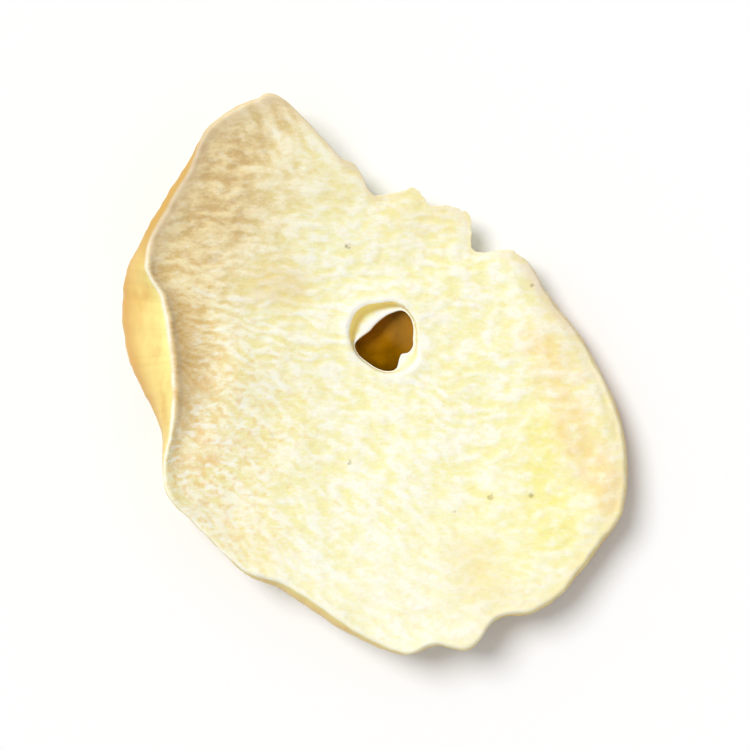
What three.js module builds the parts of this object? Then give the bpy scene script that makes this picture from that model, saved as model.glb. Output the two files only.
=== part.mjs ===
// One slice cut across the bulb of a Persian shallot and dried until it cupped. It lies on its belly
// with the upper cut face up and most of the rim clear of the surface. The bulb's skin is left as a
// band round the rim and leans outwards on the left. The rim is torn away on the far side, where the
// slice had thinned out. The hollow that held the shoot goes down through the slice, past a ledge, and
// comes out under that ledge.
// Units are millimetres, +Z is up, and the origin is under the middle of the slice, on the surface.
import * as THREE from "three";

// The slice is drawn as sections, one on each spoke round the hole.
const SPOKES = 180;
const TOP_STEPS = 10; // from the hole's mouth to the cut edge, along the upper face
const SKIN_STEPS = 5; // down the skin, from the cut edge to the lower edge
const UNDER_STEPS = 8; // back along the lower face to where the hollow comes out

// Middle of the hole's mouth, from the origin.
const HOLE_AT = new THREE.Vector2(0.54, 2.24);

// The rim: direction from the hole in degrees, reach of the cut edge from the hole's middle, and flare,
// how far the lower edge stands out beyond the cut edge.
const RIM = [
  [0, 12, 0.2],
  [10, 10.7, 0.2],
  [18, 10.2, 0.1],
  [27, 10.05, 0],
  [34, 9.6, -0.1],
  [40, 8.35, -0.3],
  [47, 7.9, -0.2],
  [54, 9.3, -0.4],
  [65, 9, -0.3],
  [71.5, 8.8, -0.3],
  [77.5, 9.6, -0.4],
  [83, 9.25, -0.3],
  [90, 9, -0.3],
  [95.5, 9.15, -0.3],
  [98, 10.3, -0.3],
  [100.5, 11, -0.3],
  [103.5, 11.45, -0.2],
  [108, 13.2, -0.1],
  [112, 15.3, -0.1],
  [115, 16.35, 0],
  [117.5, 16.3, 0],
  [122, 16.5, 0.1],
  [131, 16.4, 0.05],
  [139, 15.5, 0.45],
  [148, 15.25, 0.55],
  [158, 15.25, 0.65],
  [164, 14.9, 1.3],
  [169, 13.7, 2.6],
  [177, 13, 3.1],
  [187, 12.8, 2.8],
  [196, 13.2, 1.7],
  [204, 14.2, 0.6],
  [210, 15.4, 0],
  [216, 16.2, -0.1],
  [223, 16.1, -0.1],
  [231, 16.2, -0.1],
  [240, 16.5, 0.1],
  [248, 16.1, 0.5],
  [257, 16.8, 0.6],
  [266, 18.1, 0.4],
  [274, 19.2, 0.1],
  [280, 18.9, 0.1],
  [285, 19.6, 0.1],
  [292, 18.4, 0.1],
  [298, 18.9, 0.2],
  [304, 18.95, 0.1],
  [311, 18.45, 0.2],
  [317, 18.15, 0.2],
  [323, 18.05, 0.1],
  [327, 17.5, 0.2],
  [334, 16.4, 0.2],
  [342, 15, 0.2],
  [351, 13.3, 0.2],
];

// How the slice cupped: direction from the hole in degrees; span, how far it reached when whole; crest
// and foot, the heights of the upper and lower face out there (the torn side thinned out before it got
// that far, and a foot below zero dried flat against the surface); swell, how far the upper face humps
// or sags just inside the cut edge; curl, how far the cut edge itself turns up, or down if negative.
const DISH = [
  [0, 13.0, 2.5, 0.2, 0.2, -0.3],
  [15, 12.6, 2.4, 1.0, 0.15, -0.3],
  [32, 12.5, 2.4, 2.2, 0.05, -0.15],
  [60, 12.8, 2.5, 3.2, 0, -0.1],
  [88, 14.0, 3.0, 3.3, 0, -0.1],
  [103, 15.5, 3.5, 2.6, 0, 0],
  [117, 16.6, 4.0, 1.9, -0.05, 0.05],
  [132, 16.9, 4.3, 1.8, -0.15, 0.1],
  [150, 16.5, 4.5, 1.6, -0.25, 0.1],
  [170, 15.9, 4.8, 1.2, -0.45, 0.15],
  [188, 15.5, 4.8, 0.9, -0.5, 0.2],
  [206, 15.7, 4.3, 1.1, -0.35, 0.15],
  [228, 16.7, 4.0, 1.4, -0.2, 0.1],
  [254, 17.9, 4.0, 1.5, -0.15, 0.1],
  [276, 19.1, 3.8, 1.3, -0.1, 0.05],
  [294, 18.9, 3.4, 0.8, 0.05, -0.1],
  [312, 18.3, 3.0, 0.3, 0.05, -0.05],
  [328, 17.4, 2.8, 0, 0.1, -0.1],
  [345, 14.9, 2.6, -0.2, 0.2, -0.2],
];
const BOWL = 1.9; // how late the upper face bends towards the rim
const ARCH = 2.2; // how late the lower face bends towards the rim
const FACE_HEIGHT = 2.2; // upper face at the hole
const SETTLE = 0.25; // how much of the belly is dried flat against the surface, in height
const SWELL_INSET = 1.6; // from the cut edge in to the top of the swell
const SWELL_WIDTH = 1.3;
const CURL_WIDTH = 1.1; // from the cut edge in to where its turn has faded
const WAVINESS = 0.05; // shallow unevenness of the upper face
const SKIN_BULGE = 0.07; // extra roundness of the skin, as a share of its height
const LOWER_TUCK = 0.06; // the lower edge turns in, as a share of the flare

// The hole: direction in degrees, mouth (its radius at the upper face), throat (its radius at the ledge).
const HOLE = [
  [0, 2.08, 1.78],
  [17, 2.1, 1.9],
  [42, 2.2, 2.05],
  [58, 2.3, 1.98],
  [72, 2.3, 1.62],
  [97, 2.18, 1.2],
  [132, 2.35, 1],
  [162, 2.2, 1.08],
  [178, 2.1, 1.42],
  [191, 2, 1.78],
  [210, 1.97, 1.84],
  [235, 1.9, 1.78],
  [256, 2, 1.88],
  [275, 2.15, 2.02],
  [293, 2.25, 2],
  [306, 2.35, 1.6],
  [318, 2.35, 1.48],
  [330, 2.3, 1.75],
  [342, 2.15, 1.84],
];
const MOUTH_LIP = 0.1; // the hole's edge dried a little proud of the face
const LIP_WIDTH = 0.7;
const LEDGE_DROP = 0.42; // from the hole's edge down to the ledge
const LEDGE_SHARE = 0.5; // the ledge's width, as a share of the way from throat to mouth
const LEDGE_THICKNESS = 0.3;
const EXIT_FROM_MOUTH = new THREE.Vector2(-1.35, 1.05); // the hollow slants to here on the lower face
const EXIT_RADIUS = 0.6;
const EXIT_WALL = 0.25;

const { degToRad, lerp } = THREE.MathUtils;

// Reads a table of rows at any direction, smoothly and all the way round. Column 0 is the direction.
function around(rows) {
  const [, ...first] = rows[0];
  const closed = [...rows, [360, ...first]];
  const directions = closed.map((row) => row[0]);
  const values = closed.flatMap((row) => row.slice(1));
  const curve = new THREE.CubicInterpolant(directions, values, first.length);
  curve.settings = {
    endingStart: THREE.WrapAroundEnding,
    endingEnd: THREE.WrapAroundEnding,
  };
  return (direction) => [...curve.evaluate(direction)];
}

const rimAt = around(RIM);
const dishAt = around(DISH);
const holeAt = around(HOLE);

// Shares from 0 to 1, closer together near both ends.
function shares(steps) {
  return Array.from(
    { length: steps + 1 },
    (_, i) => (1 - Math.cos((Math.PI * i) / steps)) / 2,
  );
}

// A smooth hump of height 1 around the middle.
function hump(x, middle, width) {
  return Math.exp(-(((x - middle) / width) ** 2));
}

// Shallow unevenness from -1 to 1.
function waves(x, y) {
  return 0.6 * Math.sin(0.9 * x + 1.2 * Math.sin(0.45 * y)) + 0.4 * Math.sin(1.1 * y - 0.5 * x);
}

// The closed outline of the slice on one spoke, as points round the hole's middle. It runs out along
// the upper face, down the skin, back along the lower face and up through the hollow.
function section(direction) {
  const [reach, flare] = rimAt(direction);
  const [span, crest, foot, swell, curl] = dishAt(direction);
  const [mouth, throat] = holeAt(direction);
  const out = new THREE.Vector3(Math.cos(degToRad(direction)), Math.sin(degToRad(direction)), 0);
  const place = (distance, height) => out.clone().multiplyScalar(distance).setZ(height);

  const top = shares(TOP_STEPS).map((share) => {
    const distance = lerp(mouth, reach, share);
    const point = place(distance, 0);
    const face = lerp(FACE_HEIGHT, crest, (distance / span) ** BOWL);
    const swelling = swell * hump(reach - distance, SWELL_INSET, SWELL_WIDTH);
    const curling = curl * hump(distance, reach, CURL_WIDTH);
    const lip = MOUTH_LIP * hump(distance, mouth + LIP_WIDTH / 2, LIP_WIDTH);
    return point.setZ(face + swelling + curling + lip + WAVINESS * waves(point.x, point.y));
  });
  const cutEdge = top.at(-1);

  const exit = out.clone().multiplyScalar(EXIT_RADIUS);
  exit.x += EXIT_FROM_MOUTH.x;
  exit.y += EXIT_FROM_MOUTH.y;
  const lowerEdge = place(reach + flare * (1 - LOWER_TUCK), 0);
  const under = shares(UNDER_STEPS).map((share) => {
    const point = lowerEdge.clone().lerp(exit, share);
    const height = lerp(-SETTLE, foot, (point.length() / span) ** ARCH);
    return point.setZ(Math.max(height, 0));
  });

  const skinHeight = cutEdge.z - under[0].z;
  const skin = shares(SKIN_STEPS)
    .slice(1, -1)
    .map((share) => {
      const lean = flare * Math.sin((share * Math.PI) / 2);
      const bulge = SKIN_BULGE * skinHeight * Math.sin(share * Math.PI);
      return place(reach + lean + bulge, cutEdge.z - skinHeight * share);
    });

  const ledge = top[0].z - LEDGE_DROP;
  const ledgeReach = lerp(throat, mouth, LEDGE_SHARE);
  const exitTop = exit.clone().setZ(EXIT_WALL);
  const throatFoot = place(throat, ledge - LEDGE_THICKNESS);
  const hollow = [
    exitTop,
    exitTop.clone().lerp(throatFoot, 0.5),
    throatFoot,
    place(throat, ledge),
    place(ledgeReach, ledge),
    place(lerp(ledgeReach, mouth, 0.55), lerp(ledge, top[0].z, 0.6)),
  ];
  return [...top, ...skin, ...under, ...hollow];
}

// Joins the sections of neighbouring spokes into one closed skin of triangles.
function sliceGeometry() {
  const sections = Array.from({ length: SPOKES }, (_, spoke) => section((spoke * 360) / SPOKES));
  const count = sections[0].length;
  const faces = [];
  for (let spoke = 0; spoke < SPOKES; spoke += 1) {
    const here = spoke * count;
    const next = ((spoke + 1) % SPOKES) * count;
    for (let i = 0; i < count; i += 1) {
      const j = (i + 1) % count;
      faces.push(here + i, here + j, next + j);
      faces.push(here + i, next + j, next + i);
    }
  }
  const geometry = new THREE.BufferGeometry().setFromPoints(sections.flat());
  geometry.setIndex(faces);
  geometry.translate(HOLE_AT.x, HOLE_AT.y, 0);
  geometry.computeVertexNormals();
  return geometry;
}

const flesh = new THREE.MeshStandardMaterial({ color: 0xf1e6bf, roughness: 0.85, metalness: 0 });

const slice = new THREE.Mesh(sliceGeometry(), flesh);
slice.name = "shallot_slice";

const shallot = new THREE.Group();
shallot.add(slice);

export default shallot;
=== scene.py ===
import math
from collections import defaultdict

import bmesh
import bpy
import numpy as np
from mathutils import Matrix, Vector, noise


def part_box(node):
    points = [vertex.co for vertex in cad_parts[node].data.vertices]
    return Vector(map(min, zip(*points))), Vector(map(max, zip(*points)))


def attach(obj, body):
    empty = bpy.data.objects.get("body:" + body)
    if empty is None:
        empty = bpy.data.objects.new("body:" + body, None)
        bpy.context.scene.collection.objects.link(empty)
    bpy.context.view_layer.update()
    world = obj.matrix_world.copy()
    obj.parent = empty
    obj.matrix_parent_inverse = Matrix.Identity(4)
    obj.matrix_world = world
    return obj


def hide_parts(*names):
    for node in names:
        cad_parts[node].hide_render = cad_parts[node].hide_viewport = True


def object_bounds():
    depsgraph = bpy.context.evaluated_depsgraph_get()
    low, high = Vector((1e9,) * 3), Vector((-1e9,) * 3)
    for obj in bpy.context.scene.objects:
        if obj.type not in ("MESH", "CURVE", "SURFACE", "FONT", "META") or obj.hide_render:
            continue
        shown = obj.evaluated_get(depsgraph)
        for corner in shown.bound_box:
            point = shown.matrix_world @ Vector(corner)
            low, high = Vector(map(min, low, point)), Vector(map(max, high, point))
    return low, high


MM = 0.001

# Stretches of a section in order, each with its steps in the solid and its steps in the fine mesh.
STRETCHES = {"skin": (5, 22), "under": (8, 26), "hollow": (7, 26), "top": (10, 108)}
FINER_ROUND = 3
END_CROWDING = 0.5  # how much closer the fine steps get at both ends of a stretch
MERGE_DISTANCE = 2e-6  # metres
TINY = 1e-6  # keeps a division from being by zero

HOLE_AT = np.array([0.54, 2.24])  # middle of the hole's mouth

NOISE_STEP = np.array([17.3, 5.9, 11.1])  # from the noise of one seed to that of the next
NOISE_GAIN = 1.6

ROUNDING_PASSES = 5
ROUNDED_STEPS = 3

ROW_SPACING = 1.25  # from one row of threads to the next
ROW_DRIFT_SIZES = (3.2, 1.6)  # along and across the threads, of the noise that bends their rows
DASH_SIZES = (0.8, 0.4)  # and of the noise that breaks them into dashes
FAN_SPREAD = 13.0  # how far from the hole the fanned threads are as far apart as the others
TO_TIP = (-0.37, 0.93)  # the way from the hole to the tip
FACE_APART = 9  # keeps the threads of the two cut faces from repeating each other

THREAD_HEIGHT = 0.045
WRINKLE_HEIGHT = 0.05
GRAIN_HEIGHT = 0.014
PLEAT_HEIGHT = 0.035
PLEAT_RADIUS = 16  # a cylinder of this radius carries the pleats' and the skin lines' noise
RIM_BEAD = 0.04
LIP_BEAD = 0.04
FACE_MARGIN = 0.5  # from the edges of a cut face in to where its relief is whole
RAGGED_EDGE = 0.1
TORN_EDGE = 0.3
BITE_WIDTH = 0.9  # how far in from the cut edge the bites of the ragged and torn edges reach

RIM_BAND = 0.6  # half width of the tinted bands along the torn, turned and tanned rim

# Arcs round the hole: first and last direction, and how far each end fades to either side.
ARCS = {
    "torn": (30, 106, 5),
    "left_rim": (112, 298, 8),
    "upper_left_rim": (112, 158, 8),
    "sunlit_skin_arc": (170, 191, 12),
    "shaded_skin_arc": (95, 170, 14),
    "deeper_shaded_skin_arc": (130, 160, 6),
    "pale_rim": (160, 208, 8),
    "fainter_pale_rim": (208, 300, 8),
    "turned_right": (0, 32, 8),
    "turned_left": (92, 162, 8),
    "narrow_turn": (134, 300, 8),
    "crease_shadow": (162, 204, 8),
    "edge_shadow": (130, 158, 6),
    "tanned_rim": (280, 362, 8),
    "warm_shade_rim": (324, 372, 8),
    "valley_tan_and_shade": (168, 203, 10),
    "amber": (66, 190, 8),
    "fainter_amber": (314, 345, 5),
    "far_lip": (70, 180, 14),
    "near_lip": (290, 350, 10),
    "sunny_side": (335, 415, 22),
    "near_side": (228, 312, 14),
    "under_ledge": (75, 200, 20),
}

# Steps up the hollow, counted in the solid, over which each kind of surface begins or ends.
STEPS_UP = {
    "deep": (1.1, 2.2),
    "near_side": (2.2, 2.9),
    "ledge": (3.5, 4.0),
    "above_ledge": (4.5, 5.0),
    "wall": (4.9, 5.3),
}

# Patches of the upper face: mark, place from the hole, radii, strength and noise seed.
PATCHES = [
    # The patches on the left and upper left are partly the flesh's own tone and partly painted shade.
    ("dull_and_shade", (-11, 8.5), (5, 5.5), 1, 21),
    ("dull_and_shade", (-6, 14), (2.6, 2), 0.7, 20),
    ("dull_and_shade", (-9.5, 11.5), (2.6, 1.8), 0.4, 35),
    ("beige_and_shade", (-12.6, 2), (3.4, 8), 1, 23),
    ("beige_and_shade", (-12.2, -6), (3, 6), 0.3, 24),
    ("beige_and_shade", (-6.5, 11), (5, 4.5), 0.4, 22),
    ("beige_and_shade", (-9, -3), (6, 9), 0.2, 19),
    ("bleached", (3, -17), (11, 6), 1, 29),
    ("pink", (-10.5, -6.5), (3.2, 5.5), 1, 28),
    ("golden_and_shade", (-6.3, 3.2), (2.2, 1.5), 0.45, 26),
    # The next two, by the notch at the bottom, are painted shade.
    ("golden_and_shade", (6.2, -15.2), (2.3, 1.4), 0.25, 36),
    ("golden_and_shade", (5.4, -13.2), (1.8, 1.4), 0.3, 44),
    ("golden_and_shade", (3, 8), (6, 3), 0.16, 37),
    ("golden_and_shade", (-8.5, -12.5), (3, 2.4), 0.2, 38),
    ("yellow", (8, -12.5), (5.5, 4.5), 0.42, 45),
    ("grainy", (-11, -6), (5, 8), 0.75, 33),
]

OVER_THE_EDGE = ("dull_and_shade", "beige_and_shade")  # the patches that run on over the skin

# Bands of the upper face: mark, places along each from the hole, half width, strength and noise seed.
BANDS = [
    ("yellow", [(9.6, -5.5), (9.9, -8.5), (10.5, -11.5)], 1.4, 1, 27),
    # The next two bands are painted contact shade, warm with light bounced from a neighbouring slice.
    ("peach_contact_shade", [(9.6, -0.6), (10.8, -3), (11.6, -6), (14.2, -10)], 1.1, 1, 30),
    ("peach_contact_shade", [(11.4, -5.5), (12.5, -7.6), (13.9, -10)], 0.8, 0.7, 46),
]

# Single pale strands on the upper face: places along each from the hole, and its half width.
STRANDS = [
    ([(-5.2, -12.2), (-3.2, -14), (-0.6, -15.4), (2.3, -16.8)], 0.15),
    ([(-1.2, -8.6), (0.6, -9.2), (2.2, -10.3)], 0.15),
    ([(-7.7, 14.3), (-7.2, 13.2), (-6.3, 12.1)], 0.16),
    ([(-6.6, 14.6), (-6.1, 13.6), (-5, 12.4), (-3.6, 11.1)], 0.12),
    ([(-10.6, 0.6), (-8.6, 0.2), (-6.8, -0.1)], 0.12),
    ([(-10, -0.3), (-8.5, -1.4), (-6.9, -2.3), (-5.9, -3.2)], 0.14),
    ([(-7.4, 0.9), (-5.4, 0.1), (-4, -0.5)], 0.1),
    ([(-6.7, -1.4), (-5, -2), (-3.2, -2.4)], 0.12),
    ([(-5.4, 1.6), (-3.6, 0.7)], 0.1),
    ([(-10.3, -4.4), (-9.8, -5.5), (-9, -6.4)], 0.16),
    ([(-12, 3.3), (-10.8, 2.6), (-8.6, 2.3)], 0.1),
]
FIRST_STRAND_SEED = 39

# Specks on the upper face: place from the hole, radius, and how strongly each shows.
SPECKS = [
    ((-2.2, 5.6), 0.19, 0.7),
    ((-2.1, -7.6), 0.17, 0.6),
    ((6.5, -9.7), 0.2, 0.65),
    ((9.0, -9.6), 0.19, 0.5),
    ((9.1, 3.2), 0.16, 0.6),
    ((4.3, -10.6), 0.12, 0.3),
    ((-6.8, -5.9), 0.15, 0.3),
]


# ---------------------------------------------------------------------------------------- the grid


def turned(loop, times):
    """The loop that leaves the same corner along another of its six edges."""
    for _ in range(times):
        loop = loop.link_loop_prev.link_loop_radial_next
    return loop


def closed_line(loop):
    """Loops along the line of edges that starts with this one and goes straight on until it closes."""
    line = [loop]
    step = turned(loop.link_loop_radial_next, 3)
    while step.vert is not loop.vert:
        line.append(step)
        step = turned(step.link_loop_radial_next, 3)
    return line


def reach(points):
    """Distance from the hole's axis."""
    return np.hypot(points[..., 0] - HOLE_AT[0], points[..., 1] - HOLE_AT[1])


def read_sections(node):
    """Corners of the solid as [spoke, place along its section from the cut edge]."""
    solid = bmesh.new()
    solid.from_mesh(node.data)
    bmesh.ops.remove_doubles(solid, verts=solid.verts, dist=MERGE_DISTANCE)
    highest = max(solid.verts, key=lambda corner: corner.co.z)  # it is on the cut edge
    lines = [closed_line(loop) for loop in highest.link_loops]
    shortest = min(map(len, lines))
    along = [line for line in lines if len(line) == shortest]
    down_the_skin = max(along, key=lambda line: reach(np.array(line[1].vert.co) / MM))
    rings = [closed_line(turned(step, 2)) for step in down_the_skin]
    corners = np.array([[loop.vert.co[:] for loop in ring] for ring in rings]) / MM
    solid.free()
    return corners.transpose(1, 0, 2)


def curve_through(points, places):
    """Points on a smooth curve through the first axis of points, at fractional places on it."""
    before = 2 * points[:1] - points[1:2]
    after = 2 * points[-1:] - points[-2:-1]
    padded = np.concatenate([before, points, after])
    whole = np.clip(places.astype(int), 0, len(points) - 2)
    t = (places - whole).reshape(-1, *[1] * (points.ndim - 1))
    a, b, c, d = (padded[whole + k] for k in range(4))
    return b + (t * (c - a) + t**2 * (2 * a - 5 * b + 4 * c - d) + t**3 * (3 * b - a - 3 * c + d)) / 2


def finer_sections(sections):
    """The grid with more spokes, and each stretch of a section redrawn in its fine steps."""
    spokes = len(sections)
    wrapped = np.concatenate([sections[-1:], sections, sections[:2]])
    sections = curve_through(wrapped, 1 + np.arange(spokes * FINER_ROUND) / FINER_ROUND)
    places = np.concatenate([sections, sections[:, :1]], axis=1).transpose(1, 0, 2)
    fine = []
    start = 0
    for name, (steps, fine_steps) in STRETCHES.items():
        even = np.arange(fine_steps) / fine_steps
        if name != "hollow":
            crowded = (1 - np.cos(np.pi * even)) / 2
            share = even + END_CROWDING * (crowded - even)
            even = np.arccos(1 - 2 * share) / np.pi
        fine.append(curve_through(places[start : start + steps + 1], even * steps))
        start += steps
    return np.concatenate(fine).transpose(1, 0, 2)


def stretch_slices():
    """Where each stretch lies among the fine steps."""
    slices = {}
    start = 0
    for name, (_, fine_steps) in STRETCHES.items():
        slices[name] = slice(start, start + fine_steps)
        start += fine_steps
    return slices


def rounded(grid):
    """The grid with its four corners, the ends of the stretches, worn round."""
    count = grid.shape[1]
    ends = [part.start for part in stretch_slices().values()]
    steps = np.arange(count)
    nearest = np.min([np.minimum((steps - e) % count, (e - steps) % count) for e in ends], axis=0)
    share = np.clip(1 - nearest / (ROUNDED_STEPS + 1), 0, 1)[None, :, None]
    for _ in range(ROUNDING_PASSES):
        between = (np.roll(grid, 1, axis=1) + np.roll(grid, -1, axis=1)) / 2
        grid = grid + share * (between - grid)
    return grid


def normals(grid):
    """Unit normals that point out of the slice."""
    along = np.roll(grid, -1, axis=1) - np.roll(grid, 1, axis=1)
    round_the_hole = np.roll(grid, -1, axis=0) - np.roll(grid, 1, axis=0)
    facing = np.cross(along, round_the_hole)
    return facing / np.linalg.norm(facing, axis=-1, keepdims=True)


# ------------------------------------------------------------------------------------- the surface


def eased(value, low, high):
    """0 below low, 1 above high, smooth between them."""
    share = np.clip((value - low) / (high - low), 0, 1)
    return share * share * (3 - 2 * share)


def hump(value, middle, width):
    """A smooth hump of height 1 round the middle."""
    return np.exp(-(((value - middle) / width) ** 2))


def lumps(points, size, seed):
    """Smooth noise from about -1 to 1, with lumps of that size."""
    moved = points / size + seed * NOISE_STEP
    flat = [noise.noise(point) for point in moved.reshape(-1, 3).tolist()]
    return np.array(flat).reshape(points.shape[:-1]) * NOISE_GAIN


class Surface:
    """Where everything is on the grid: distances, directions and marks, one value for each corner."""

    def __init__(self, grid):
        self.grid = grid
        self.parts = stretch_slices()
        steps = np.linalg.norm(np.roll(grid, -1, axis=1) - grid, axis=-1)
        down = np.cumsum(steps, axis=1) - steps
        whole = steps.sum(axis=1, keepdims=True)
        self.from_edge = np.minimum(down, whole - down)
        mouth = down[:, self.parts["top"].start, None]
        self.from_mouth = np.abs(down - mouth)
        lower_edge = down[:, self.parts["under"].start, None]
        self.from_lower_edge = np.abs(down - lower_edge)
        edge = grid[:, 0] - [*HOLE_AT, 0]
        self.direction = np.degrees(np.arctan2(edge[:, 1], edge[:, 0]))[:, None] % 360
        self.from_hole = grid - [*HOLE_AT, 0]
        self.facing = normals(grid)

    def on(self, name):
        """1 on that stretch and 0 elsewhere."""
        mark = np.zeros(self.grid.shape[:2])
        mark[:, self.parts[name]] = 1
        return mark

    def arc(self, name):
        """1 on that arc round the hole and 0 elsewhere, eased at both ends."""
        first, last, fade = ARCS[name]
        middle, half = (first + last) / 2, (last - first) / 2
        away = np.abs((self.direction - middle + 180) % 360 - 180)
        return 1 - eased(away, half - fade, half + fade)

    def blob(self, middle, radii, seed):
        """A soft patch round a place given from the hole, 1 in its middle."""
        across = (self.from_hole[..., :2] - middle) / radii
        away = np.hypot(across[..., 0], across[..., 1]) + 0.15 * lumps(self.from_hole, 1.4, seed)
        return 1 - eased(away, 0.1, 1.5)

    def trail(self, places, width, seed):
        """A soft band along a line of places given from the hole, 1 in its middle."""
        place = self.from_hole[..., :2]
        nearest = np.full(place.shape[:2], np.inf)
        for start, end in zip(np.array(places[:-1]), np.array(places[1:])):
            share = np.clip((place - start) @ (end - start) / ((end - start) @ (end - start)), 0, 1)
            away = np.linalg.norm(place - start - share[..., None] * (end - start), axis=-1)
            nearest = np.minimum(nearest, away)
        return hump(nearest + 0.3 * width * lumps(self.from_hole, 0.9, seed), 0, width)


def long_lumps(along, across, face, sizes, seed):
    """Smooth noise with lumps of those sizes along and across the threads of a cut face."""
    return lumps(np.stack([along / sizes[0], across / sizes[1], face], axis=-1), 1, seed)


def rows_of_threads(along, across, face, seed):
    """Threads that run along, in rows of their own across, broken into dashes."""
    drift = 2.5 * long_lumps(along, across, face, ROW_DRIFT_SIZES, seed)
    rows = np.sin(2 * np.pi * across / ROW_SPACING + drift)
    return 0.25 * rows + long_lumps(along, across, face, DASH_SIZES, seed + 1)


def threads(surface):
    """Pale threads on a cut face: crosswise, but along the lower left rim and out into the tip."""
    place = surface.from_hole
    x = place[..., 0] + 0.2 * lumps(place, 2.2, 1)
    y = place[..., 1] + 0.3 * lumps(place, 1.8, 2)
    away = np.hypot(x, y)
    fan = (0.8 * away, FAN_SPREAD * np.arctan2(y, -x))
    towards_tip = (TO_TIP[0] * x + TO_TIP[1] * y) / (away + 0.1)
    in_tip = eased(towards_tip, 0.95, 0.99) * eased(away, 9.5, 12.5)
    # Below the hole the rows slope down to the right, and on the lower left they curve up the rim.
    bend = np.maximum(-x - 3, 0) ** 2 / 16 * eased(-y, -3, 3)
    slope = 0.3 * eased(-y, -6, 4) + 0.25 * eased(-y, 6, 12)
    face = FACE_APART * np.round(surface.facing[..., 2])
    crosswise = rows_of_threads(x, y - bend + slope * np.minimum(x, 4), face, 3)
    outward = rows_of_threads(*fan, face, 6)
    return eased(crosswise + in_tip * (outward - crosswise), -1.1, 1.1)


def relief(surface, thread):
    """The fine mesh's corners, moved by what drying and tearing did to each kind of surface.

    Most of it goes inwards from the solid, so that the slice keeps its size.
    """
    grid, top = surface.grid, surface.on("top")
    inside = eased(surface.from_edge, 0, FACE_MARGIN) * eased(surface.from_mouth, 0, FACE_MARGIN)
    inside = inside * (top + surface.on("under"))
    height = inside * THREAD_HEIGHT * (thread - 0.7)
    height += inside * WRINKLE_HEIGHT * (lumps(grid, 2.2, 5) - 0.3)
    height += GRAIN_HEIGHT * (lumps(grid, 0.5, 6) - 0.5)

    outward = surface.from_hole * [1, 1, 0]
    outward = outward / np.linalg.norm(outward, axis=-1, keepdims=True)
    round_the_rim = outward * PLEAT_RADIUS
    pleats = lumps(round_the_rim, 0.8, 7) + 0.5 * lumps(round_the_rim, 0.35, 8)
    on_skin = surface.on("skin") * eased(surface.from_edge, 0.05, 0.6)
    height += on_skin * PLEAT_HEIGHT * (pleats - 1)

    left_rim = surface.arc("left_rim") - 0.6 * surface.arc("upper_left_rim")
    bead = hump(surface.from_edge, 0.15, 0.2) * (0.7 + 0.7 * lumps(grid, 1.3, 9))
    height += top * left_rim * RIM_BEAD * bead
    lip = hump(surface.from_mouth, 0.3, 0.3) * (0.6 + 1.2 * lumps(grid, 0.9, 10))
    height += top * LIP_BEAD * lip
    grid = grid + surface.facing * height[..., None]
    return grid - outward * bites(surface)[..., None]


def bites(surface):
    """How far the edge of the slice is bitten back towards the hole."""
    edge, torn = surface.grid[:, :1], surface.arc("torn")
    ragged = RAGGED_EDGE * (0.5 + 0.5 * lumps(edge, 0.9, 11))
    crumbled = TORN_EDGE * (0.45 + 0.5 * lumps(edge, 1.0, 12) + 0.3 * lumps(edge, 0.35, 13))
    depth = np.clip(ragged * (1 - torn) + crumbled * torn, 0, None)
    return depth * hump(surface.from_edge, 0, BITE_WIDTH)


# ------------------------------------------------------------------------------------------- marks


def skin_marks(surface):
    """Where the skin is, how far down it a place is, and where it is painted more brown as shade."""
    skin, arc = surface.on("skin"), surface.arc
    # Painted shade on the skin: more brown all round but the sunlit left, most on the upper left.
    skin_shade = 0.6 * (1 - arc("sunlit_skin_arc")) + 0.3 * arc("shaded_skin_arc") + 0.6 * arc("deeper_shaded_skin_arc")
    down = surface.from_edge / (surface.from_edge + surface.from_lower_edge + TINY)
    return {
        "skin": skin * eased(surface.from_edge, 0.02, 0.15) * (1 - arc("torn")),
        "skin_down": skin * down,
        "shaded_skin": skin * skin_shade,
    }


def valley_tan_and_shade(surface):
    """The low ground inside the left rim, where the flesh is painted tan: partly its own colour,
    partly painted shade.
    """
    return hump(surface.from_edge, 0.7, 1.5) * surface.arc("valley_tan_and_shade")


def rim_marks(surface):
    """Bands along the rim: pale, torn and tanned, and painted shade where the edge turns down, in a
    thin line inside it and in the low ground.
    """
    top, skin = surface.on("top"), surface.on("skin")
    arc, from_edge = surface.arc, surface.from_edge
    pale = hump(from_edge, 0, 0.12) * (arc("pale_rim") + 0.75 * arc("fainter_pale_rim"))
    turn_width = RIM_BAND - 0.45 * skin * arc("narrow_turn")
    turned = np.maximum(arc("turned_right"), arc("turned_left")) * hump(from_edge, 0, turn_width)
    crease_shadow = top * hump(from_edge, 0.5, 0.16) * arc("crease_shadow")
    crease_shadow += (top + skin) * hump(from_edge, 0, 0.2) * arc("edge_shadow")
    return {
        "rim": pale * np.clip(1 + 0.8 * lumps(surface.grid, 1.2, 25), 0, 1),
        "torn": arc("torn") * hump(from_edge, 0, RIM_BAND),
        "turned_edge_shade": (top + skin * eased(surface.from_lower_edge, 0.3, 1.2)) * turned,
        "crease_shadow": crease_shadow,
        "edge_tan": (top + 0.7 * skin) * arc("tanned_rim") * hump(from_edge, 0, RIM_BAND),
        "valley_tan_and_shade": top * valley_tan_and_shade(surface),
    }


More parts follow.
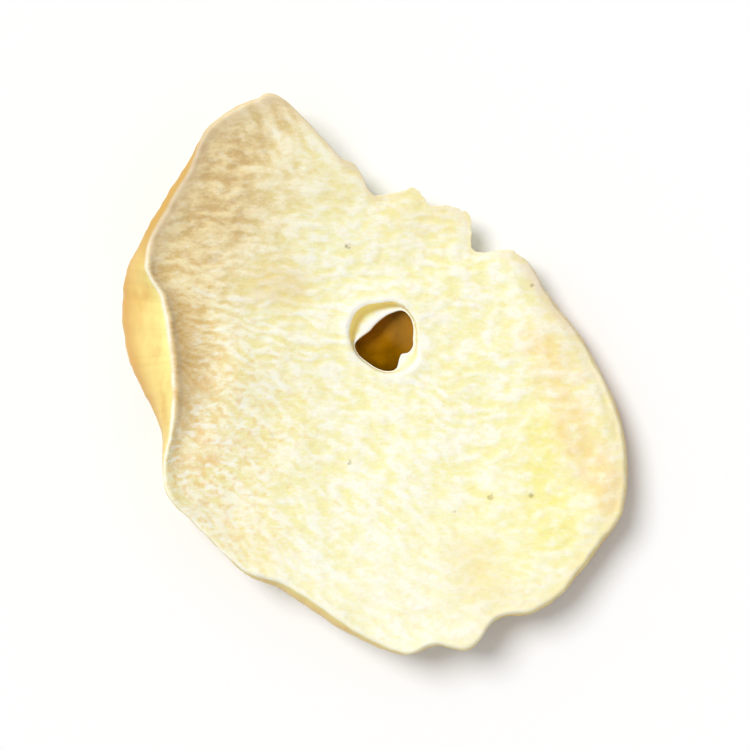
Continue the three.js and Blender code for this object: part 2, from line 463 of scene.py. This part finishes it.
def hollow_marks(surface):
    """The kinds of surface in the hollow, told apart by how many of the solid's steps up they are."""
    top, hollow, arc = surface.on("top"), surface.on("hollow"), surface.arc
    steps, fine_steps = STRETCHES["hollow"]
    up = np.zeros_like(hollow)
    up[:, surface.parts["hollow"]] = np.arange(fine_steps) / fine_steps * steps
    past = {name: eased(up, *fade) for name, fade in STEPS_UP.items()}
    amber = np.maximum(arc("amber"), 0.5 * arc("fainter_amber"))
    lip = 0.3 + 0.7 * np.maximum(arc("far_lip"), arc("near_lip"))
    return {
        "lip": lip * hump(surface.from_mouth, 0.05, 0.4) * (top + hollow * (1 - amber)),
        "wall": hollow * past["wall"] * np.maximum(amber, 0.4),
        "ledge": hollow * past["ledge"] * (1 - past["above_ledge"]),
        # Painted shade down the hole, below the ledge.
        "hole_shade": hollow * (1 - past["ledge"]),
        "deep": hollow * (1 - past["deep"]),
        "sunny_side": hollow * arc("sunny_side"),
        "near_side": hollow * arc("near_side") * past["near_side"],
        "under_ledge": hollow * arc("under_ledge"),
    }


def patch_marks(surface):
    """Patches and bands of colour on the cut face, and its single pale strands."""
    top, skin = surface.on("top"), surface.on("skin")
    found = defaultdict(float)
    for name, middle, radii, strength, seed in PATCHES:
        found[name] += strength * surface.blob(middle, radii, seed)
    for name, places, width, strength, seed in BANDS:
        found[name] += strength * surface.trail(places, width, seed)
    for k, (places, width) in enumerate(STRANDS):
        found["strands"] += surface.trail(places, width, FIRST_STRAND_SEED + k)
    found["strands"] *= np.clip(0.55 + 1.1 * lumps(surface.grid, 0.8, 41), 0, 1)
    # Painted contact shade along the right rim.
    found["peach_contact_shade"] += 0.3 * surface.arc("warm_shade_rim") * hump(surface.from_edge, 0, 3.0)
    for name, cover in found.items():
        found[name] = (top + skin * (name in OVER_THE_EDGE)) * np.clip(cover, 0, 1)
    found["grainy"] = (0.25 + found["grainy"]) * (1 - 0.8 * valley_tan_and_shade(surface))
    return {"top": top, **found}


def marks(surface, thread):
    """What the material has to know, by name."""
    kinds = (skin_marks, rim_marks, hollow_marks, patch_marks)
    found = {"thread": thread}
    for kind in kinds:
        found.update(kind(surface))
    return found


def make_slice(node):
    """The slice's fine mesh, with one FLOAT attribute for each mark."""
    surface = Surface(rounded(finer_sections(read_sections(node))))
    thread = threads(surface)
    low, high = (np.array(corner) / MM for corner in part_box(node.name))
    corners = np.clip(relief(surface, thread), low, high)

    spokes, count = corners.shape[:2]
    here = np.arange(spokes * count).reshape(spokes, count)
    onward = np.roll(here, -1, axis=1)
    faces = np.stack([here, onward, np.roll(onward, -1, axis=0), np.roll(here, -1, axis=0)], axis=-1)
    mesh = bpy.data.meshes.new("dried_shallot_slice")
    mesh.from_pydata((corners.reshape(-1, 3) * MM).tolist(), [], faces.reshape(-1, 4).tolist())
    mesh.shade_smooth()
    for name, values in marks(surface, thread).items():
        mark = mesh.attributes.new(name, "FLOAT", "POINT")
        mark.data.foreach_set("value", values.ravel().astype(np.float32))
    mesh.validate()
    piece = bpy.data.objects.new("dried_shallot_slice", mesh)
    bpy.context.scene.collection.objects.link(piece)
    return piece


# ------------------------------------------------------------------------------------ the material


def colour(text):
    """A linear colour from its sRGB hex digits."""
    values = [int(text[k : k + 2], 16) / 255 for k in (0, 2, 4)]
    return (*[v / 12.92 if v <= 0.04045 else ((v + 0.055) / 1.055) ** 2.4 for v in values], 1)


class Look:
    """A node material being put together. Each method adds a node and returns its output."""

    def __init__(self, name):
        self.material = bpy.data.materials.new(name)
        self.material.use_nodes = True
        self.nodes = self.material.node_tree.nodes
        self.links = self.material.node_tree.links
        self.shader = self.nodes["Principled BSDF"]
        self.place = self.add("ShaderNodeTexCoord").outputs["Object"]

    def add(self, kind, inputs=None, **settings):
        node = self.nodes.new(kind)
        for name, value in settings.items():
            setattr(node, name, value)
        for key, value in (inputs or {}).items():
            self.feed(node.inputs[key], value)
        return node

    def feed(self, socket, value):
        """Links what another node gives to the socket, or sets a value that is the same all over."""
        if isinstance(value, bpy.types.NodeSocket):
            self.links.new(value, socket)
        else:
            socket.default_value = value

    def mark(self, name):
        return self.add("ShaderNodeAttribute", attribute_name=name).outputs["Fac"]

    def maths(self, operation, first, second, third=0.0):
        inputs = {0: first, 1: second, 2: third}
        return self.add("ShaderNodeMath", inputs, operation=operation).outputs[0]

    def vector_maths(self, operation, first, second=(0, 0, 0), output="Vector"):
        inputs = {0: first, 1: second}
        return self.add("ShaderNodeVectorMath", inputs, operation=operation).outputs[output]

    def scaled(self, value, low, high):
        """Low where the value is 0 and high where it is 1."""
        inputs = {"Value": value, "To Min": low, "To Max": high}
        return self.add("ShaderNodeMapRange", inputs).outputs[0]

    def stretched(self, sizes, place=None):
        """Coordinates in which a lump of those sizes, in millimetres, is one across."""
        scale = [1 / (size * MM) for size in sizes]
        return self.vector_maths("MULTIPLY", place or self.place, scale)

    def grain(self, sizes, seed, detail=2.0, place=None):
        inputs = {"Vector": self.stretched(sizes, place), "W": seed, "Scale": 1.0, "Detail": detail}
        return self.add("ShaderNodeTexNoise", inputs, noise_dimensions="4D").outputs["Fac"]

    def eased(self, value, low, high, top=1.0):
        inputs = {"Value": value, "From Min": low, "From Max": high, "To Max": top}
        return self.add("ShaderNodeMapRange", inputs, interpolation_type="SMOOTHSTEP").outputs[0]

    def mixed(self, share, first, second):
        """A share of the second colour over the first. Either may be hex digits."""
        node = self.add("ShaderNodeMix", data_type="RGBA")
        self.feed(node.inputs[0], share)
        self.feed(node.inputs[6], colour(first) if isinstance(first, str) else first)
        self.feed(node.inputs[7], colour(second) if isinstance(second, str) else second)
        return node.outputs[2]

    def tinted(self, base, name, share, tint):
        """The base with a share of the tint where that mark is."""
        return self.mixed(self.maths("MULTIPLY", self.mark(name), share), base, tint)


def speck_share(look):
    """How much of the specks' colour each place on the upper face takes."""
    flat = look.vector_maths("MULTIPLY", look.place, (1, 1, 0))
    total = 0.0
    for middle, radius, strength in SPECKS:
        middle = (*(HOLE_AT + middle) * MM, 0)
        away = look.vector_maths("DISTANCE", flat, middle, output="Value")
        share = look.eased(away, radius * MM * 1.4, radius * MM * 0.3, strength)
        total = look.maths("ADD", total, share)
    crumbled = look.eased(look.grain((0.25, 0.25, 0.25), seed=5.0), 0.35, 0.6)
    return look.maths("MULTIPLY", total, look.maths("MULTIPLY", crumbled, look.mark("top")))


def thread_share(look):
    """The mesh's threads with the finer strands and crumbs between its corners."""
    strands = look.grain((0.42, 0.2, 0.3), detail=2.5, seed=2.0)
    crumbs = look.grain((0.18, 0.14, 0.18), seed=10.0)
    fine = look.maths("ADD", look.eased(strands, 0.3, 0.7), look.eased(crumbs, 0.25, 0.75, 0.6))
    return look.maths("ADD", look.mark("thread"), look.maths("MULTIPLY_ADD", fine, 0.5, -0.4))


def flesh_colour(look):
    """Pale threads over a warm ground, greyer and dimmer on the left, partly its own tone and partly
    painted shade, with flecks, specks and patches.
    """
    thread = thread_share(look)
    bright = look.mixed(thread, "f9f2b4", "fffdea")
    beige_and_shade = look.mixed(thread, "e6c784", "fff3c6")
    dull_and_shade = look.mixed(thread, "d7b880", "f6e2ae")
    # Greyer, dimmer tones on the left and upper left: partly the flesh's own, partly painted shade.
    base = look.mixed(look.mark("beige_and_shade"), bright, beige_and_shade)
    base = look.mixed(look.mark("dull_and_shade"), base, dull_and_shade)
    base = look.tinted(base, "bleached", 0.4, "fffdec")
    # The low ground inside the left rim: partly the flesh's own tan, partly painted shade.
    base = look.tinted(base, "valley_tan_and_shade", 0.5, "d0a35e")

    patches = look.grain((0.9, 0.7, 0.9), detail=3.0, seed=11.0)
    mottles = look.grain((0.6, 0.5, 0.5), detail=3.0, seed=4.0)
    grains = look.grain((0.42, 0.34, 0.4), detail=0.5, seed=13.0)
    flecks = look.grain((0.7, 0.34, 0.5), detail=0.8, seed=14.0)
    base = look.tinted(base, "pink", look.eased(patches, 0.48, 0.65, 0.5), "f0c892")
    # Warm blotches of the flesh's own colour, and painted shade by the notch at the bottom.
    base = look.mixed(look.mark("golden_and_shade"), base, "eccb76")
    base = look.tinted(base, "yellow", look.eased(mottles, 0.2, 0.7, 0.8), "faf08c")
    # Painted contact shade, warm with bounced light, along the right side.
    base = look.tinted(base, "peach_contact_shade", look.eased(patches, 0.2, 0.6, 0.6), "f7d48a")
    base = look.tinted(base, "grainy", look.eased(grains, 0.52, 0.7, 0.6), "efca84")
    base = look.tinted(base, "grainy", look.eased(flecks, 0.54, 0.68, 0.8), "fffdee")
    base = look.tinted(base, "strands", 0.7, "fffff2")
    return look.mixed(speck_share(look), base, "7f6c36")


def skin_lines(look):
    """Noise that runs straight down the skin."""
    from_hole = look.vector_maths("SUBTRACT", look.place, (*HOLE_AT * MM, 0))
    flat = look.vector_maths("MULTIPLY", from_hole, (1, 1, 0))
    unit = look.vector_maths("NORMALIZE", flat)
    radius = PLEAT_RADIUS * MM
    round_the_rim = look.vector_maths("MULTIPLY", unit, (radius, radius, 0))
    return look.grain((0.4, 0.4, 0.4), detail=3.0, place=round_the_rim, seed=6.0)


def skin_colour(look, lines):
    """Yellow skin, with painted shade: deeper orange low down and more brown away from the sunlit
    left, with faint lines down it.
    """
    blotches = look.grain((0.9, 1.7, 1.2), detail=3.0, seed=7.0)
    down = look.mark("skin_down")
    # Painted shade: the skin gets deeper orange towards its lower edge, near the floor.
    base = look.mixed(look.eased(down, 0.02, 0.32), "fff8a0", "fde590")
    base = look.mixed(look.eased(down, 0.32, 0.75), base, "dfb160")
    base = look.mixed(look.eased(blotches, 0.42, 0.72, 0.45), base, "e6b058")
    # Painted shade: the skin more brown away from the sunlit left.
    base = look.tinted(base, "shaded_skin", 0.55, "c8953f")
    return look.mixed(look.eased(lines, 0.45, 0.75, 0.14), base, "cf9f4c")


def hole_shade_colour(look):
    """Painted shade for the view down the hole: brown below the ledge, painted light on its sunny side
    and where little light reaches so that it looks even, and deeper brown on the near side.
    """
    base = look.mixed(look.grain((1.0, 1.0, 1.0), seed=12.0), "4a2c00", "b37a00")
    base = look.tinted(base, "sunny_side", 0.3, "c08f45")
    base = look.tinted(base, "under_ledge", 0.95, "dca23c")
    base = look.tinted(base, "deep", 0.85, "e39c20")
    # Painted shade, deeper brown, on the near side down the hole.
    return look.tinted(base, "near_side", 0.55, "241500")


def whole_colour(look, lines):
    """Flesh, skin and hollow, with the bands along the edges between them."""
    base = look.tinted(flesh_colour(look), "torn", 0.3, "f3dca0")
    base = look.mixed(look.mark("skin"), base, skin_colour(look, lines))
    base = look.tinted(base, "edge_tan", 0.5, "fbe9b8")
    # Painted shade along the edge where it turns down away from the lamp.
    base = look.tinted(base, "turned_edge_shade", 0.65, "e9d3b0")
    # Painted shadow: a thin grey-brown line inside the left rim, and dimmer edges on the upper left.
    base = look.tinted(base, "crease_shadow", 0.45, "bfae96")
    base = look.tinted(base, "lip", 0.9, "fffcf0")
    base = look.tinted(base, "ledge", 0.9, "fffdf4")
    base = look.tinted(base, "rim", 0.9, "fffbea")
    base = look.mixed(look.mark("wall"), base, "ffdf84")
    # Painted shade for the view down the hole, below the ledge.
    return look.mixed(look.mark("hole_shade"), base, hole_shade_colour(look))


def fine_bump(look, lines):
    """Crumb and fibres on the flesh, and the lines on the skin, too fine for the mesh."""
    crumb = look.grain((0.2, 0.18, 0.2), detail=4.0, seed=8.0)
    fibres = look.grain((0.8, 0.16, 0.5), seed=9.0)
    flesh = look.maths("ADD", crumb, look.maths("MULTIPLY", fibres, 0.8))
    skin = look.maths("MULTIPLY", lines, 0.5)
    height = look.add("ShaderNodeMix", {0: look.mark("skin"), 2: flesh, 3: skin}).outputs[0]
    inputs = {"Height": height, "Strength": 0.5, "Distance": 0.05 * MM}
    return look.add("ShaderNodeBump", inputs).outputs["Normal"]


def make_material():
    look = Look("dried_shallot")
    lines = skin_lines(look)
    lit = look.maths("SUBTRACT", 1.0, look.mark("hole_shade"))
    unshaded = look.maths("MULTIPLY_ADD", look.mark("shaded_skin"), -0.6, 1.0)
    shine = look.maths("MULTIPLY", look.scaled(look.mark("skin"), 0.25, 0.5), lit)
    inputs = {
        "Base Color": whole_colour(look, lines),
        "Roughness": look.scaled(look.mark("skin"), 0.82, 0.42),
        "Specular IOR Level": look.maths("MULTIPLY", shine, unshaded),
        "Subsurface Weight": look.scaled(look.mark("wall"), 0.15, 0.8),
        "Subsurface Radius": (1.0, 0.7, 0.35),
        "Subsurface Scale": 1.1 * MM,
        "Normal": fine_bump(look, lines),
    }
    for name, value in inputs.items():
        look.feed(look.shader.inputs[name], value)
    return look.material


# ----------------------------------------------------------------------------- the floor and lights


SKY_SHARE = 0.46  # brightness that the sky alone gives a white level surface
SUN_SHARE = 0.56  # brightness that the lamp adds to it
SUN_FROM = Vector((-0.5, 0.4, 0.87))
SUN_SOFTNESS = math.radians(30)
FLOOR_WIDTH = 2.0  # metres
FLOOR_WHITE = 0.98
FLOOR_ROUGHNESS = 0.9
LENS = 100
SENSOR = 36
CLIP_START = 0.01  # metres
FRAME_SHARE = 0.76  # how much of the frame the slice's longest side takes


def make_floor():
    half = FLOOR_WIDTH / 2
    mesh = bpy.data.meshes.new("floor")
    corners = [(-half, -half, 0), (half, -half, 0), (half, half, 0), (-half, half, 0)]
    mesh.from_pydata(corners, [], [(0, 1, 2, 3)])
    floor = bpy.data.objects.new("floor", mesh)
    bpy.context.scene.collection.objects.link(floor)
    look = Look("floor_white")
    look.shader.inputs["Base Color"].default_value = (FLOOR_WHITE, FLOOR_WHITE, FLOOR_WHITE, 1)
    look.shader.inputs["Roughness"].default_value = FLOOR_ROUGHNESS
    mesh.materials.append(look.material)


def light_scene():
    """A soft lamp from the upper left under a dim sky, which the camera sees as white."""
    world = bpy.data.worlds.new("sky")
    world.use_nodes = True
    background = world.node_tree.nodes["Background"]
    background.inputs["Color"].default_value = (1, 1, 1, 1)
    rays = world.node_tree.nodes.new("ShaderNodeLightPath")
    strength = world.node_tree.nodes.new("ShaderNodeMapRange")
    strength.inputs["To Min"].default_value = SKY_SHARE
    world.node_tree.links.new(rays.outputs["Is Camera Ray"], strength.inputs["Value"])
    world.node_tree.links.new(strength.outputs[0], background.inputs["Strength"])
    bpy.context.scene.world = world
    lamp = bpy.data.lights.new("window", "SUN")
    lamp.energy = SUN_SHARE * math.pi / SUN_FROM.normalized().z
    lamp.angle = SUN_SOFTNESS
    window = bpy.data.objects.new("window", lamp)
    window.rotation_euler = SUN_FROM.to_track_quat("Z", "Y").to_euler()
    bpy.context.scene.collection.objects.link(window)


def aim_camera(low, high):
    """Straight down, as in the photo, with +Y up the picture."""
    camera = bpy.data.cameras.new("camera")
    camera.lens = LENS
    camera.sensor_width = SENSOR
    camera.clip_start = CLIP_START
    view = bpy.data.objects.new("camera", camera)
    width = max(high.x - low.x, high.y - low.y) / FRAME_SHARE
    view.location = ((low.x + high.x) / 2, (low.y + high.y) / 2, high.z + width * LENS / SENSOR)
    bpy.context.scene.collection.objects.link(view)
    bpy.context.scene.camera = view


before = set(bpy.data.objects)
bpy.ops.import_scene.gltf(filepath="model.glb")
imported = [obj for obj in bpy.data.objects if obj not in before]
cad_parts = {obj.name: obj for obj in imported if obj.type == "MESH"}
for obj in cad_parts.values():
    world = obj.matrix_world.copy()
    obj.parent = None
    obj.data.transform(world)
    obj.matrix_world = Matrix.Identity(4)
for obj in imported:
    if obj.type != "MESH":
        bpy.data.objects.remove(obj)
cad_low, cad_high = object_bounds()

slice_piece = make_slice(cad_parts["shallot_slice"])
slice_piece.data.materials.append(make_material())
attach(slice_piece, "root")
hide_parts("shallot_slice")

make_floor()
light_scene()
aim_camera(cad_low, cad_high)
bpy.context.scene.view_settings.view_transform = "Standard"
